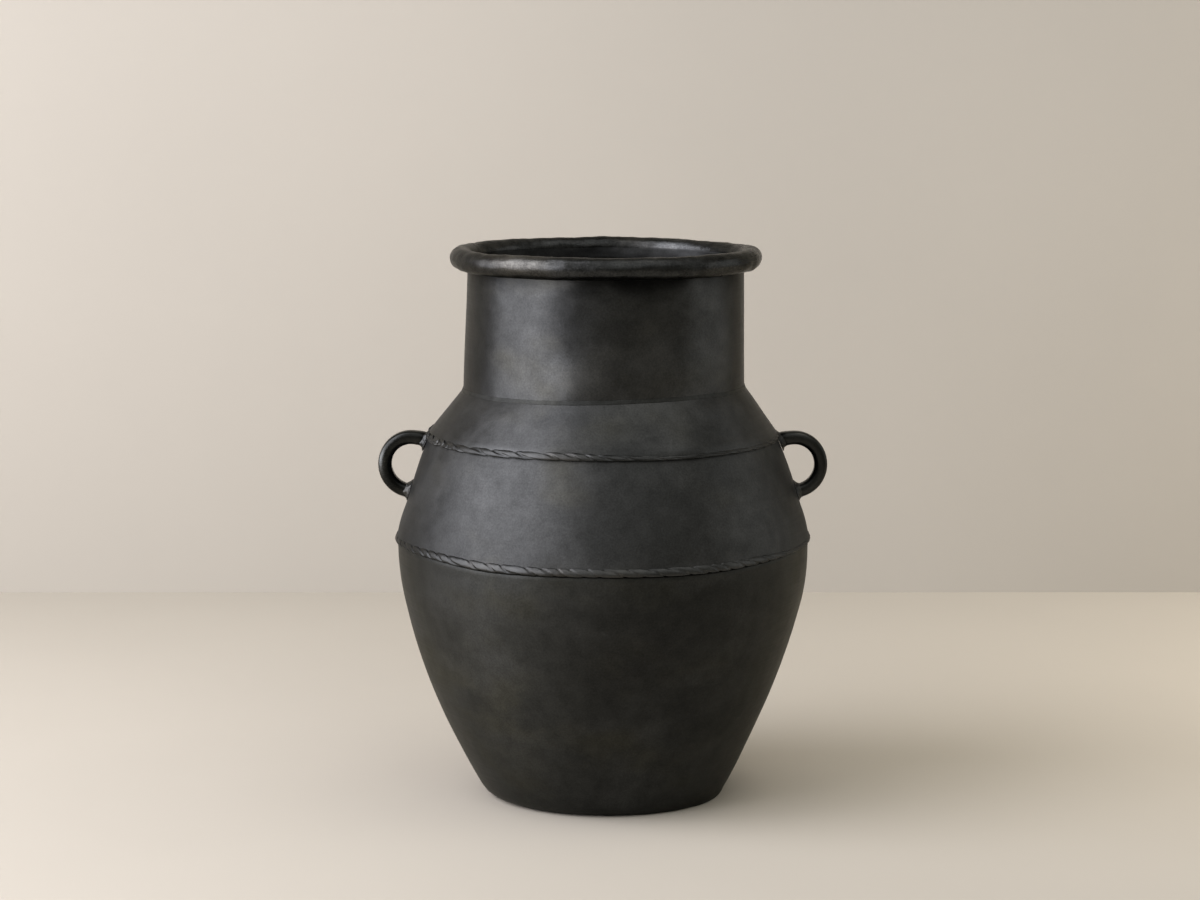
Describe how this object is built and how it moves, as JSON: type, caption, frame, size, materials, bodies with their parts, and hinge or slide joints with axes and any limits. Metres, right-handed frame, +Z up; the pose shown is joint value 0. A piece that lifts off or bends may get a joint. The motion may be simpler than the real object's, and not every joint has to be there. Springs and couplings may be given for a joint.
{
  "type": "floor planter",
  "caption": "Tall urn-shaped metal floor planter with a tube rim, a straight neck, rope wire over its seams, loop handles and a plugged drain.",
  "frame": {"origin": "on the floor under the centre of the foot", "axes": "+Z up along the planter's axis, +X towards the right handle, -Y towards the pictured front"},
  "size_m": [0.556, 0.5158, 0.6824],
  "materials": {
    "blackened_sheet": "spun sheet iron, blackened and waxed, semi-matt with a cloudy patina",
    "blackened_tube": "rolled tube, blackened and waxed, rubbed brighter where hands touch it",
    "rope_wire": "twisted iron wire hammered flat, blackened, its crowns rubbed grey",
    "weld_metal": "weld beads dressed smooth and blackened with the body",
    "handle_bar": "bent bar, blackened and waxed, smooth",
    "plug_rubber": "moulded black rubber, matt"
  },
  "bodies": {
    "planter": {"lower_bowl": "blackened_sheet", "base_plate": "blackened_sheet", "base_weld": "weld_metal", "belly_shell": "blackened_sheet", "belly_seam_weld": "weld_metal", "lower_rope": "rope_wire", "shoulder_cone": "blackened_sheet", "shoulder_seam_weld": "weld_metal", "upper_rope_front": "rope_wire", "upper_rope_back": "rope_wire", "neck_tube": "blackened_sheet", "neck_weld": "weld_metal", "rim_ring": "blackened_tube", "rim_weld": "weld_metal", "left_handle": "handle_bar", "left_handle_upper_weld": "weld_metal", "left_handle_lower_weld": "weld_metal", "right_handle": "handle_bar", "right_handle_upper_weld": "weld_metal", "right_handle_lower_weld": "weld_metal"},
    "plug": {"drain_plug": "plug_rubber"}
  },
  "joints": [
    {"name": "plug_lift", "type": "slide", "parent": "planter", "child": "plug", "axis": [0, 0, 1], "range_m": [0, 0.7]}
  ]
}
